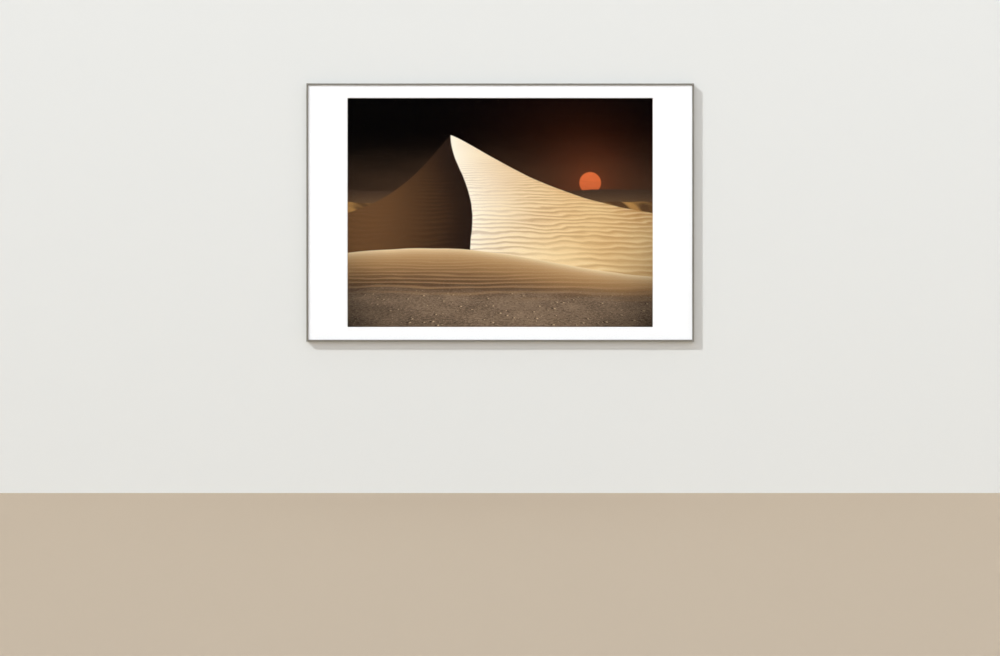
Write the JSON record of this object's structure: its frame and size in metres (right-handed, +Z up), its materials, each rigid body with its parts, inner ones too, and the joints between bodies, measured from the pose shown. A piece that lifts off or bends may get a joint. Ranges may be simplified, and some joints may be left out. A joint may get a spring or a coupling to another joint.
{
  "type": "framed wall print",
  "caption": "Landscape picture behind clear glazing in a wide white mat, held in a thin warm-grey metal frame that hangs on a wall.",
  "frame": {"origin": "centre of the print on the wall plane, in the plane of the wall pads' back faces", "axes": "+X to the viewer's right along the frame's long side, +Y from the picture's face into the wall, +Z up"},
  "size_m": [1, 0.0225, 0.666],
  "materials": {
    "frame_metal": "satin anodised, warm grey",
    "glazing": "clear, polished, low glare",
    "mat_board": "matt white cotton board with a bevel-cut window",
    "print_paper": "satin photographic print",
    "mount_board": "plain grey card",
    "hardboard": "pressed brown hardboard",
    "zinc": "bright zinc plate",
    "spring_steel": "blued spring steel",
    "felt": "pressed grey felt"
  },
  "bodies": {
    "root": {"rail_top": "frame_metal", "rail_right": "frame_metal", "rail_bottom": "frame_metal", "rail_left": "frame_metal", "glazing": "glazing", "mat": "mat_board", "print": "print_paper", "mount_board": "mount_board", "backing_board": "hardboard", "corner_plate_1": "zinc", "corner_plate_2": "zinc", "corner_plate_3": "zinc", "corner_plate_4": "zinc", "corner_screw_1": "zinc", "corner_screw_2": "zinc", "corner_screw_3": "zinc", "corner_screw_4": "zinc", "corner_screw_5": "zinc", "corner_screw_6": "zinc", "corner_screw_7": "zinc", "corner_screw_8": "zinc", "spring_top_1": "spring_steel", "spring_top_2": "spring_steel", "spring_top_3": "spring_steel", "spring_top_4": "spring_steel", "spring_right_1": "spring_steel", "spring_right_2": "spring_steel", "spring_bottom_1": "spring_steel", "spring_bottom_2": "spring_steel", "spring_bottom_3": "spring_steel", "spring_bottom_4": "spring_steel", "spring_left_1": "spring_steel", "spring_left_2": "spring_steel", "hanger_left": "zinc", "hanger_right": "zinc", "wall_pad_1": "felt", "wall_pad_2": "felt", "wall_pad_3": "felt", "wall_pad_4": "felt"}
  },
  "joints": []
}
